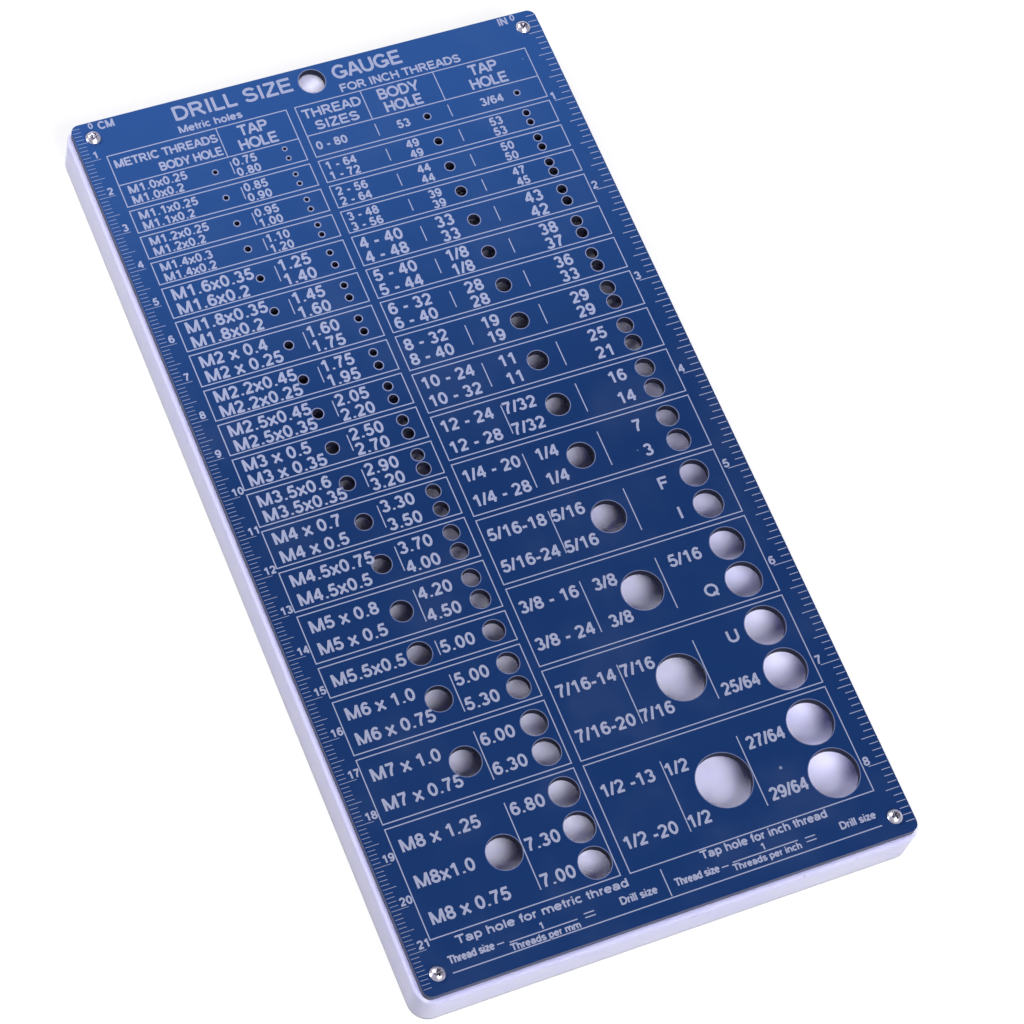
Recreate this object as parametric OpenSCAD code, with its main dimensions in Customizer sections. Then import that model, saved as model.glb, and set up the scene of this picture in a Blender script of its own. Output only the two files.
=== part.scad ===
// Drill size gauge: a coated steel plate full of gauge holes, screwed to a plastic base.
// The plate carries a metric table on the left and an inch table on the right. Each table
// row has one body hole for the screw and one to three tap holes for its tapping drills.
// Millimetres, +Z up, origin under the middle of the base. +Y runs to the head of the plate.

/* [Plate] */
// Width of the plate
plate_w = 116; // [112:1:140]
// Length of the plate
plate_l = 220; // [216:1:260]
// Thickness of the plate
plate_t = 2; // [1:0.1:4]
// Radius of the plate's corners
plate_corner_r = 2; // [0.5:0.1:4]

/* [Base] */
// Height of the base
base_h = 10; // [8:0.5:25]
// How far the base stands out past the plate on every side
base_margin = 1.2; // [0.2:0.1:6]
// Radius of the base's upright corners
base_corner_r = 4.5; // [2.5:0.1:8]
// Rounding of the base's upper edge
base_edge_r = 0.8; // [0.2:0.1:2]
// Depth of the pocket under the gauge holes, where the tips of drills stand
pocket_depth = 4.5; // [3:0.5:7]
// From the plate's long sides to the pocket
pocket_side = 5; // [3:0.5:6]
// From the head of the plate to the pocket
pocket_head = 12; // [9:0.5:16]
// From the foot of the plate to the pocket
pocket_foot = 9; // [7:0.5:10]
// Radius of the pocket's upright corners
pocket_corner_r = 4; // [1:0.5:8]

/* [Gauge holes] */
// Room given to every gauge hole over the size marked beside it
gauge_allowance = 0.02; // [0:0.01:0.1]
// From the head of the plate to the first row of holes
first_row_y = 17.85; // [16:0.05:19]
// Gap between two rows
row_gap = 1.17; // [0.6:0.01:1.4]
// Metric body holes, from the plate's left side
metric_body_x = 27.8; // [24:0.1:32]
// Metric tap holes, from the plate's left side
metric_tap_x = 45.3; // [42:0.1:48]
// Inch body holes, from the plate's right side
inch_body_x = 35.6; // [32:0.1:40]
// Inch tap holes, from the plate's right side
inch_tap_x = 12.7; // [12:0.1:16]
// Printed bar right of the inch body holes, from the plate's right side
inch_bar_x = 29.8; // [26:0.1:30]
// Least room between a body hole and that bar
bar_gap = 0.35; // [0.2:0.05:1]

/* [Hang hole] */
// Diameter of the hang hole
hang_d = 6.35; // [4:0.05:7]
// From the head of the plate to the middle of the hang hole
hang_y = 4.1; // [4.1:0.1:6]

/* [Screws] */
// Diameter of the screws' shanks
screw_d = 2; // [1.6:0.1:2.5]
// How deep the shanks go into the base
screw_bite = 6; // [3:0.5:7]
// Diameter of the screws' heads
screw_head_d = 3.5; // [3.2:0.1:4.4]
// Height of the screws' heads
screw_head_h = 1.3; // [1:0.1:2]
// Height of the heads' upright side
screw_head_side = 0.4; // [0.2:0.05:0.7]
// From the plate's long sides to the screws
screw_side = 4.3; // [3:0.1:5]
// From the plate's short sides to the screws
screw_end = 4.3; // [3:0.1:6]
// Room round the shanks in the plate
screw_plate_gap = 0.2; // [0.1:0.05:0.5]
// Room round the shanks in the base
screw_base_gap = 0.05; // [0.02:0.01:0.1]
// Width of the driver cross's arms
cross_w = 0.5; // [0.3:0.05:0.7]
// Span of the driver cross
cross_span = 1.9; // [1.4:0.1:2.4]
// Depth of the driver cross
cross_depth = 0.7; // [0.3:0.05:0.75]

/* [Hidden] */
$fn = 64;
inch = 25.4;
overcut = 1;

base_w = plate_w + 2 * base_margin;
base_l = plate_l + 2 * base_margin;
plate_top = base_h + plate_t;
edge_r = min(base_edge_r, base_margin);
screw_l = plate_t + screw_bite;
screw_tip = 1.5;
tip_clearance = 0.5;
pilot_depth = screw_bite + tip_clearance;
screw_x = plate_w / 2 - screw_side;
screw_y = plate_l / 2 - screw_end;

// Each row: height of the row, spacing of its tap holes, body hole, tap holes.
METRIC_ROWS = [
    [5.9, 2.6, 1.0, [0.75, 0.80]],
    [5.9, 2.6, 1.1, [0.85, 0.90]],
    [5.9, 2.6, 1.2, [0.95, 1.00]],
    [5.8, 2.6, 1.4, [1.10, 1.20]],
    [7.8, 3.3, 1.6, [1.25, 1.40]],
    [7.7, 3.3, 1.8, [1.45, 1.60]],
    [8.1, 3.4, 2.0, [1.60, 1.75]],
    [7.8, 3.4, 2.2, [1.75, 1.95]],
    [7.8, 3.4, 2.5, [2.05, 2.20]],
    [7.8, 3.5, 3.0, [2.50, 2.70]],
    [8.2, 3.6, 3.5, [2.90, 3.20]],
    [9.3, 4.6, 4.0, [3.30, 3.50]],
    [9.8, 4.75, 4.5, [3.70, 4.00]],
    [11.6, 5.4, 5.0, [4.20, 4.50]],
    [7.2, 0, 5.5, [5.00]],
    [12.8, 6.05, 6.0, [5.00, 5.30]],
    [15.4, 7.1, 7.0, [6.00, 6.30]],
    [25.8, 8.5, 8.0, [6.80, 7.00, 7.30]],
];
// The inch rows have the same form, with the holes in inches.
INCH_ROWS = [
    [5.9, 0, 0.0595, [3 / 64]],
    [5.9, 2.6, 0.0730, [0.0595, 0.0595]],
    [5.9, 2.6, 0.0860, [0.0700, 0.0700]],
    [5.8, 2.6, 0.0995, [0.0785, 0.0820]],
    [7.8, 3.2, 0.1130, [0.0890, 0.0935]],
    [7.7, 3.3, 1 / 8, [0.1015, 0.1040]],
    [8.1, 3.4, 0.1405, [0.1065, 0.1130]],
    [9.0, 3.9, 0.1660, [0.1360, 0.1360]],
    [10.1, 4.7, 0.1910, [0.1495, 0.1570]],
    [11.3, 5.5, 7 / 32, [0.1770, 0.1820]],
    [13.3, 6.4, 1 / 4, [0.2010, 0.2130]],
    [16.3, 8.0, 5 / 16, [0.2570, 0.2720]],
    [19.4, 9.3, 3 / 8, [5 / 16, 0.3320]],
    [22.1, 11.05, 7 / 16, [0.3680, 25 / 64]],
    [25.8, 12.55, 1 / 2, [27 / 64, 29 / 64]],
];

// Distance from the head of the plate to the middle of row i.
function row_mid(rows, i) = first_row_y + rows[i][0] / 2 + row_start(rows, i);
// Height of all rows and gaps above row i.
function row_start(rows, i) = i == 0 ? 0 : row_start(rows, i - 1) + rows[i - 1][0] + row_gap;

// A rectangle about the origin with round corners.
module rounded_rect(w, l, r) {
    square([w - 2 * r, l], center = true);
    square([w, l - 2 * r], center = true);
    for (sx = [-1, 1], sy = [-1, 1]) {
        translate([sx * (w / 2 - r), sy * (l / 2 - r)])
            circle(r);
    }
}

// Half of an upright section of the base: straight side, rounded upper edge.
module edge_section(reach, h, r) {
    square([reach, h - r]);
    square([reach - r, h]);
    translate([reach - r, h - r])
        circle(r);
}

// A slab with round corners whose upper edge is rounded all the way round.
module rounded_slab(w, l, h, corner_r, edge_r) {
    for (sx = [-1, 1], sy = [-1, 1]) {
        translate([sx * (w / 2 - corner_r), sy * (l / 2 - corner_r), 0])
            rotate_extrude()
                edge_section(corner_r, h, edge_r);
    }
    run_between_corners(w, l - 2 * corner_r, h, edge_r);
    rotate([0, 0, 90])
        run_between_corners(l, w - 2 * corner_r, h, edge_r);
}

// A straight bar across the slab, with both of its upper long edges rounded.
module run_between_corners(across, along, h, edge_r) {
    rotate([90, 0, 0])
        linear_extrude(along, center = true) {
            edge_section(across / 2, h, edge_r);
            mirror([1, 0])
                edge_section(across / 2, h, edge_r);
        }
}

// Places its child at each of the four screws.
module at_screws() {
    for (sx = [-1, 1], sy = [-1, 1]) {
        translate([sx * screw_x, sy * screw_y])
            children();
    }
}

// The holes of one table, with x positions measured from the plate's middle.
// A body hole that would run into the bar on its right moves left.
module table_holes(rows, unit, body_x, tap_x, bar_x) {
    for (i = [0:len(rows) - 1]) {
        y = plate_l / 2 - row_mid(rows, i);
        body_d = rows[i][2] * unit + gauge_allowance;
        taps = rows[i][3];
        translate([min(body_x, bar_x - bar_gap - body_d / 2), y])
            circle(d = body_d);
        for (k = [0:len(taps) - 1]) {
            translate([tap_x, y + ((len(taps) - 1) / 2 - k) * rows[i][1]])
                circle(d = taps[k] * unit + gauge_allowance);
        }
    }
}

// The steel plate: rounded outline, two tables of gauge holes, hang hole, four screw holes.
module gauge_plate() {
    left = -plate_w / 2;
    right = plate_w / 2;
    color("royalblue")
        translate([0, 0, base_h])
            linear_extrude(plate_t)
                difference() {
                    rounded_rect(plate_w, plate_l, plate_corner_r);
                    table_holes(METRIC_ROWS, 1, left + metric_body_x, left + metric_tap_x, right);
                    table_holes(INCH_ROWS, inch, right - inch_body_x, right - inch_tap_x, right - inch_bar_x);
                    translate([0, plate_l / 2 - hang_y])
                        circle(d = hang_d);
                    at_screws()
                        circle(d = screw_d + 2 * screw_plate_gap);
                }
}

// The plastic base: a tray whose rim carries the plate, with a pocket under the gauge holes
// and four pilot holes.
module base_block() {
    pocket_w = plate_w - 2 * pocket_side;
    pocket_l = plate_l - pocket_head - pocket_foot;
    color("ghostwhite")
        difference() {
            rounded_slab(base_w, base_l, base_h, base_corner_r, edge_r);
            translate([0, (pocket_foot - pocket_head) / 2, base_h - pocket_depth])
                linear_extrude(pocket_depth + overcut)
                    rounded_rect(pocket_w, pocket_l, pocket_corner_r);
            at_screws()
                translate([0, 0, base_h - pilot_depth])
                    cylinder(d = screw_d + 2 * screw_base_gap, h = pilot_depth + overcut);
        }
}

// One screw with the underside of its head at z = 0: domed pan head, shank, pointed end.
module pan_screw() {
    cap_h = screw_head_h - screw_head_side;
    dome_r = ((screw_head_d / 2) ^ 2 + cap_h ^ 2) / (2 * cap_h);
    difference() {
        intersection() {
            cylinder(d = screw_head_d, h = screw_head_h);
            translate([0, 0, screw_head_h - dome_r])
                sphere(dome_r);
        }
        driver_cross();
    }
    translate([0, 0, screw_tip - screw_l])
        cylinder(d = screw_d, h = screw_l - screw_tip);
    translate([0, 0, -screw_l])
        cylinder(d1 = screw_d / 4, d2 = screw_d, h = screw_tip);
}

// The cross-shaped recess for the driver.
module driver_cross() {
    for (turn = [0, 90]) {
        rotate([0, 0, turn])
            translate([-cross_span / 2, -cross_w / 2, screw_head_h - cross_depth])
                cube([cross_span, cross_w, cross_depth + overcut]);
    }
}

// The four screws that hold the plate down.
module corner_screws() {
    color("silver")
        at_screws()
            translate([0, 0, plate_top])
                pan_screw();
}

gauge_plate();
base_block();
corner_screws();
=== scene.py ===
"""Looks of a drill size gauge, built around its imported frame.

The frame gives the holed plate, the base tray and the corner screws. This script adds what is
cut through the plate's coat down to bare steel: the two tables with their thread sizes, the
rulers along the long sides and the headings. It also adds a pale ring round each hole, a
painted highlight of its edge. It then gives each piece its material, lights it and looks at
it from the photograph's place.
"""

from __future__ import annotations

import logging
from abc import ABC, abstractmethod
from dataclasses import dataclass
from enum import Enum
from math import cos, dist, inf, pi, radians, sin

import bmesh
import bpy
from mathutils import Matrix, Vector

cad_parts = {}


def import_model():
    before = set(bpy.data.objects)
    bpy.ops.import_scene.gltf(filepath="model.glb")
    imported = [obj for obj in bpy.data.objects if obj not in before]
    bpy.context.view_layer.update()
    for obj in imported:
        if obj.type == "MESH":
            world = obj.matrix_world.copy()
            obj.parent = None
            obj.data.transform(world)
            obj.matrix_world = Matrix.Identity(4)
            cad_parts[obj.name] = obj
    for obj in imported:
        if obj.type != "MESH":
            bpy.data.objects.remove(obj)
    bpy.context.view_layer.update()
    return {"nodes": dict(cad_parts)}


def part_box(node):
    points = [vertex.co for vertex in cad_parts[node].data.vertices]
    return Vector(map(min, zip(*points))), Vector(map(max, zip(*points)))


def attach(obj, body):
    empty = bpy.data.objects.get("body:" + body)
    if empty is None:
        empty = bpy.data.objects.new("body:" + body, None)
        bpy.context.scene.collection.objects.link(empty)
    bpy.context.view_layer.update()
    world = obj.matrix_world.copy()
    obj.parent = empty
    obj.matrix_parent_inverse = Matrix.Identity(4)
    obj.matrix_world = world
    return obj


MM = 0.001
INCH = 25.4
log = logging.getLogger("gauge")

Material = bpy.types.Material
Socket = bpy.types.NodeSocket
Tree = bpy.types.NodeTree
Path = list[tuple[float, float]]


class Align(Enum):
    """Which end of a line of lettering sits at its given place."""

    LEFT = 0.0
    CENTER = 0.5
    RIGHT = 1.0


def srgb(code: str) -> tuple[float, float, float, float]:
    """Turns a hex colour as the eye sees it into the linear colour that shaders use.

    Args:
        code: six hex digits.

    Returns:
        Linear red, green, blue and an alpha of 1.
    """
    parts = [int(code[i:i + 2], 16) / 255 for i in (0, 2, 4)]
    linear = [p / 12.92 if p <= 0.04045 else ((p + 0.055) / 1.055) ** 2.4 for p in parts]
    return linear[0], linear[1], linear[2], 1.0


@dataclass(frozen=True)
class Label:
    """A line of words on the plate, in millimetres.

    Attributes:
        text: the words.
        x: place of the end or middle that align names.
        base: baseline's distance from the head of the plate.
        cap: height of the capitals.
        align: which end of the line sits at x.
        width: width to stretch the line to, or None for its natural width.
    """

    text: str
    x: float
    base: float
    cap: float
    align: Align = Align.LEFT
    width: float | None = None


@dataclass(frozen=True)
class Row:
    """One row of a table.

    Attributes:
        height: height of the row's box, in millimetres.
        step: distance between its tap holes, in millimetres.
        body: diameter of the body hole, in units.
        threads: thread sizes, parted by semicolons, one to a line.
        drills: names of the tap drills, parted by spaces, one to a line.
        body_name: name of the body drill, repeated on each line, or empty.
        taps: diameters of the tap holes in units, or empty where the drills' names give them.
        unit: length of the unit, in millimetres.
    """

    height: float
    step: float
    body: float
    threads: str
    drills: str
    body_name: str = ""
    taps: tuple[float, ...] = ()
    unit: float = 1.0

    def lines(self) -> list[tuple[str, str]]:
        """Gives the thread size and the tap drill of each line."""
        return list(zip(self.threads.split(";"), self.drills.split()))

    def holes(self) -> list[float]:
        """Gives the diameters of the tap holes from the head down, in millimetres."""
        sizes = self.taps or sorted(float(name) for name in self.drills.split())
        return [size * self.unit for size in sizes]


# Height, step, body hole, threads and tap drills of each row
METRIC_ROWS = (
    Row(5.9, 2.6, 1.0, "M1.0x0.25;M1.0x0.2", "0.75 0.80"),
    Row(5.9, 2.6, 1.1, "M1.1x0.25;M1.1x0.2", "0.85 0.90"),
    Row(5.9, 2.6, 1.2, "M1.2x0.25;M1.2x0.2", "0.95 1.00"),
    Row(5.8, 2.6, 1.4, "M1.4x0.3;M1.4x0.2", "1.10 1.20"),
    Row(7.8, 3.3, 1.6, "M1.6x0.35;M1.6x0.2", "1.25 1.40"),
    Row(7.7, 3.3, 1.8, "M1.8x0.35;M1.8x0.2", "1.45 1.60"),
    Row(8.1, 3.4, 2.0, "M2 x 0.4;M2 x 0.25", "1.60 1.75"),
    Row(7.8, 3.4, 2.2, "M2.2x0.45;M2.2x0.25", "1.75 1.95"),
    Row(7.8, 3.4, 2.5, "M2.5x0.45;M2.5x0.35", "2.05 2.20"),
    Row(7.8, 3.5, 3.0, "M3 x 0.5;M3 x 0.35", "2.50 2.70"),
    Row(8.2, 3.6, 3.5, "M3.5x0.6;M3.5x0.35", "2.90 3.20"),
    Row(9.3, 4.6, 4.0, "M4 x 0.7;M4 x 0.5", "3.30 3.50"),
    Row(9.8, 4.75, 4.5, "M4.5x0.75;M4.5x0.5", "3.70 4.00"),
    Row(11.6, 5.4, 5.0, "M5 x 0.8;M5 x 0.5", "4.20 4.50"),
    Row(7.2, 0.0, 5.5, "M5.5x0.5", "5.00"),
    Row(12.8, 6.05, 6.0, "M6 x 1.0;M6 x 0.75", "5.00 5.30"),
    Row(15.4, 7.1, 7.0, "M7 x 1.0;M7 x 0.75", "6.00 6.30"),
    Row(25.8, 8.5, 8.0, "M8 x 1.25;M8x1.0;M8 x 0.75", "6.80 7.30 7.00"),
)

# The same, then the body drill's name, the tap holes and the unit
INCH_ROWS = (
    Row(5.9, 0.0, 0.0595, "0 - 80", "3/64", "53", (3 / 64,), INCH),
    Row(5.9, 2.6, 0.0730, "1 - 64;1 - 72", "53 53", "49", (0.0595, 0.0595), INCH),
    Row(5.9, 2.6, 0.0860, "2 - 56;2 - 64", "50 50", "44", (0.0700, 0.0700), INCH),
    Row(5.8, 2.6, 0.0995, "3 - 48;3 - 56", "47 45", "39", (0.0785, 0.0820), INCH),
    Row(7.8, 3.2, 0.1130, "4 - 40;4 - 48", "43 42", "33", (0.0890, 0.0935), INCH),
    Row(7.7, 3.3, 1 / 8, "5 - 40;5 - 44", "38 37", "1/8", (0.1015, 0.1040), INCH),
    Row(8.1, 3.4, 0.1405, "6 - 32;6 - 40", "36 33", "28", (0.1065, 0.1130), INCH),
    Row(9.0, 3.9, 0.1660, "8 - 32;8 - 40", "29 29", "19", (0.1360, 0.1360), INCH),
    Row(10.1, 4.7, 0.1910, "10 - 24;10 - 32", "25 21", "11", (0.1495, 0.1570), INCH),
    Row(11.3, 5.5, 7 / 32, "12 - 24;12 - 28", "16 14", "7/32", (0.1770, 0.1820), INCH),
    Row(13.3, 6.4, 1 / 4, "1/4 - 20;1/4 - 28", "7 3", "1/4", (0.2010, 0.2130), INCH),
    Row(16.3, 8.0, 5 / 16, "5/16-18;5/16-24", "F I", "5/16", (0.2570, 0.2720), INCH),
    Row(19.4, 9.3, 3 / 8, "3/8 - 16;3/8 - 24", "5/16 Q", "3/8", (5 / 16, 0.3320), INCH),
    Row(22.1, 11.05, 7 / 16, "7/16-14;7/16-20", "U 25/64", "7/16", (0.3680, 25 / 64), INCH),
    Row(25.8, 12.55, 1 / 2, "1/2 -13;1/2 -20", "27/64 29/64", "1/2", (27 / 64, 29 / 64), INCH),
)

METRIC_HEADINGS = (
    Label("METRIC THREADS", 31.5, 13.3, 2.1, Align.RIGHT, 25.0),
    Label("BODY HOLE", 31.5, 16.9, 2.2, Align.RIGHT, 15.4),
    Label("TAP", 40.3, 13.4, 2.8, Align.CENTER, 7.3),
    Label("HOLE", 40.3, 17.1, 2.8, Align.CENTER, 9.6),
)

INCH_HEADINGS = (
    Label("THREAD", 59.8, 13.35, 2.4, Align.CENTER, 14.6),
    Label("SIZES", 59.8, 16.9, 2.4, Align.CENTER, 11.0),
    Label("BODY", 76.5, 13.4, 2.8, Align.CENTER, 10.4),
    Label("HOLE", 76.5, 17.1, 2.8, Align.CENTER, 9.6),
    Label("TAP", 98.2, 13.4, 2.8, Align.CENTER, 7.3),
    Label("HOLE", 98.2, 17.1, 2.8, Align.CENTER, 9.6),
)

RULER_LABELS = (
    Label("0", 4.75, 1.7, 1.5, Align.CENTER),
    Label("CM", 6.4, 2.45, 2.0, width=3.9),
    Label("0", 110.2, 1.75, 1.6, Align.CENTER),
    Label("IN", 108.8, 2.35, 2.0, Align.RIGHT, 2.5),
)

PLATE_LABELS = (
    Label("DRILL SIZE", 23.7, 5.3, 3.7, width=29.6),
    Label("GAUGE", 63.3, 5.25, 3.7, width=17.4),
    Label("Metric holes", 23.6, 8.7, 1.85, width=15.6),
    Label("FOR INCH THREADS", 63.5, 8.9, 2.1, width=30.5),
    Label("Tap hole for metric thread", 10.6, 211.1, 1.85, width=39.8),
    Label("Tap hole for inch thread", 67.5, 210.85, 1.85, width=30.3),
)


# Materials

# How far the coat and the plastic mirror: the photograph shows both dull.
SHEEN = 0.05


def feed(tree: Tree, node: bpy.types.Node, sockets: dict) -> None:
    """Sets or links inputs of a shader node.

    Args:
        tree: the node's tree.
        node: the node.
        sockets: input name or number to a constant or to the output socket that feeds it.
    """
    for key, value in sockets.items():
        if isinstance(value, Socket):
            tree.links.new(value, node.inputs[key])
        else:
            node.inputs[key].default_value = value


def add(tree: Tree, kind: str, sockets: dict | None = None, **settings) -> bpy.types.Node:
    """Adds a shader node, sets it up and links it.

    Args:
        tree: the material's node tree.
        kind: node type without its "ShaderNode" prefix.
        sockets: its inputs, as feed() takes them.
        settings: attributes of the node, such as its operation.

    Returns:
        The new node.
    """
    made = tree.nodes.new("ShaderNode" + kind)
    for key, value in settings.items():
        setattr(made, key, value)
    feed(tree, made, sockets or {})
    return made


def calc(tree: Tree, operation: str, *values) -> Socket:
    """Adds one step of arithmetic on constants or sockets and gives its result."""
    return add(tree, "Math", dict(enumerate(values)), operation=operation).outputs[0]


def blend(tree: Tree, share, low, high, most: float = 1.0) -> Socket:
    """Mixes two colours, by a share of the second that is scaled by most."""
    scaled = share if most == 1.0 else calc(tree, "MULTIPLY", share, most)
    return add(tree, "Mix", {0: scaled, 6: low, 7: high}, data_type="RGBA").outputs[2]


def ramp(tree: Tree, value, start: float, end: float) -> Socket:
    """Maps a value to 0 at start and to 1 at end, smoothly and held beyond them."""
    sockets = {"Value": value, "From Min": start, "From Max": end}
    return add(tree, "MapRange", sockets, interpolation_type="SMOOTHSTEP").outputs[0]


def noise(tree: Tree, place, size_mm: float, detail: float = 3.0) -> Socket:
    """Adds a cloudy pattern from 0 to 1, whose lumps have a real size."""
    sockets = {"Vector": place, "Scale": 1 / (size_mm * MM), "Detail": detail}
    return add(tree, "TexNoise", sockets).outputs[0]


def spots(tree: Tree, place, centres: tuple[tuple[Vector, float], ...]) -> Socket:
    """Marks small ragged spots at given places.

    Args:
        tree: the material's node tree.
        place: socket of the coordinates in metres.
        centres: middle of each spot in metres and its radius in millimetres.

    Returns:
        A socket that is 1 in the spots and 0 elsewhere.
    """
    # A spot fades in between these shares of its radius, and the noise frays its edge.
    outer, inner = 1.6, 0.6
    ragged = noise(tree, place, size_mm=0.5, detail=4.0)
    total = None
    for centre, radius in centres:
        sockets = {0: place, 1: centre}
        away = add(tree, "VectorMath", sockets, operation="DISTANCE").outputs["Value"]
        uneven = calc(tree, "MULTIPLY_ADD", ragged, radius * MM, away)
        spot = ramp(tree, uneven, radius * outer * MM, radius * inner * MM)
        total = spot if total is None else calc(tree, "MAXIMUM", total, spot)
    return total


def past_outline(tree: Tree, place, face: Face) -> Socket:
    """Tells how far a place lies past the plate's outline.

    Args:
        tree: the material's node tree.
        place: socket of the coordinates in metres.
        face: the plate's upper face.

    Returns:
        A socket with the distance in metres, less than 0 inside the outline.
    """
    axes = add(tree, "SeparateXYZ", {0: place}).outputs
    past = [calc(tree, "SUBTRACT", calc(tree, "ABSOLUTE", axis), size / 2 * MM)
            for axis, size in zip(axes, (face.width, face.length))]
    return calc(tree, "MAXIMUM", *past)


def new_material(name: str) -> tuple[Material, Tree, bpy.types.Node]:
    """Starts a material with an empty Principled shader.

    Args:
        name: the material's name.

    Returns:
        The material, its node tree and the shader node.
    """
    material = bpy.data.materials.new(name)
    material.use_nodes = True
    tree = material.node_tree
    return material, tree, tree.nodes["Principled BSDF"]


@dataclass(frozen=True)
class BlueCoat:
    """Satin blue coat on steel: deep blue, lighter at the head as a painted sheen, with grey sides.

    The holes' walls are coloured dark as painted shade.

    Attributes:
        head: colour at the head of the plate, lighter as a painted sheen.
        foot: colour from its middle to its foot.
        painted_sheen_fade: where the coat has the foot's colour and the head's, in millimetres from
            the head.
        side: colour of the plate's outer sides.
        painted_wall_shade: colour of the holes' walls, darkened as painted shade.
        under: colour of the plate's underside, which tints the light in the base's pocket.
        dust: colour of dust and scuffs.
        tool: colour of the fine tool lines in bare metal.
        scuffs: x and y on the plate from its upper left corner and radius of each scuff.
    """

    head: str = "254882"
    foot: str = "102A57"
    painted_sheen_fade: tuple[float, float] = (120.0, -10.0)
    side: str = "5C5F76"
    painted_wall_shade: str = "24263A"
    under: str = "1C2848"
    dust: str = "A9B4D0"
    tool: str = "30323C"
    scuffs: tuple[tuple[float, float, float], ...] = (
        (92.5, 197.1, 0.5), (108.2, 12.4, 0.2), (83.0, 53.9, 0.2), (93.2, 116.5, 0.2),
        (75.3, 145.7, 0.25))

    SIDE_BAND = 0.8  # walls this near the outline are the plate's outer sides
    LEVEL = 0.5  # least upward part of a level face's normal

    def build(self, face: Face) -> Material:
        """Makes the material.

        Args:
            face: the plate's upper face.

        Returns:
            The material.
        """
        material, tree, shader = new_material("Satin blue coat on steel")
        place = add(tree, "TexCoord").outputs["Object"]
        along = add(tree, "SeparateXYZ", {0: place}).outputs[1]
        head_y = face.length / 2 * MM
        # Painted sheen: the coat is coloured lighter towards the head.
        # A haze of dust clouds it a little.
        painted_sheen_fade = ramp(tree, along, *(head_y - f * MM for f in self.painted_sheen_fade))
        coat = blend(tree, painted_sheen_fade, srgb(self.foot), srgb(self.head))
        haze = ramp(tree, noise(tree, place, size_mm=18.0), 0.45, 0.8)
        coat = blend(tree, haze, coat, srgb(self.dust), most=0.02)
        centres = tuple((face.point(x, y), r) for x, y, r in self.scuffs)
        coat = blend(tree, spots(tree, place, centres), coat, srgb(self.dust), most=0.45)
        # The outer sides are worn to grey metal with tool lines.
        # The holes' walls are coloured dark as painted shade.
        normal = add(tree, "NewGeometry").outputs["Normal"]
        rise = add(tree, "SeparateXYZ", {0: normal}).outputs[2]
        outer = calc(tree, "GREATER_THAN", past_outline(tree, place, face), -self.SIDE_BAND * MM)
        lines = noise(tree, place, size_mm=0.3)
        metal = blend(tree, outer, srgb(self.painted_wall_shade), srgb(self.side))
        metal = blend(tree, lines, metal, srgb(self.tool), most=0.3)
        under = calc(tree, "LESS_THAN", rise, -self.LEVEL)
        metal = blend(tree, under, metal, srgb(self.under))
        cut = calc(tree, "LESS_THAN", rise, self.LEVEL)
        feed(tree, shader, {
            "Base Color": blend(tree, cut, coat, metal),
            "Roughness": calc(tree, "MULTIPLY_ADD", lines, 0.08, 0.42),
            "Specular IOR Level": SHEEN})
        return material


@dataclass(frozen=True)
class MarkedSteel:
    """Steel laid bare by marking: pale bluish grey, finely frosted.

    It is a little lighter at the head as a painted sheen.

    Attributes:
        head: colour at the head of the plate, lighter as a painted sheen.
        foot: colour at its foot.
        grain: colour between the frost grains.
        painted_sheen_fade: y in the frame where it has the one colour and the other, in
            millimetres.
    """

    head: str = "8E95B6"
    foot: str = "8387A1"
    grain: str = "6C7290"
    painted_sheen_fade: tuple[float, float] = (-60.0, 60.0)

    def build(self, name: str) -> Material:
        """Makes the material.

        Args:
            name: the material's name.

        Returns:
            The material.
        """
        material, tree, shader = new_material(name)
        place = add(tree, "TexCoord").outputs["Object"]
        along = add(tree, "SeparateXYZ", {0: place}).outputs[1]
        # Painted sheen: the bare steel is coloured a little lighter towards the head.
        painted_sheen_fade = ramp(tree, along, *(f * MM for f in self.painted_sheen_fade))
        bare = blend(tree, painted_sheen_fade, srgb(self.foot), srgb(self.head))
        # Fine frost breaks up the light, so that the marks look matt.
        frost = noise(tree, place, size_mm=0.25)
        feed(tree, shader, {
            "Base Color": blend(tree, frost, bare, srgb(self.grain), most=0.2),
            "Roughness": calc(tree, "MULTIPLY_ADD", frost, 0.2, 0.45)})
        return material


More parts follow.
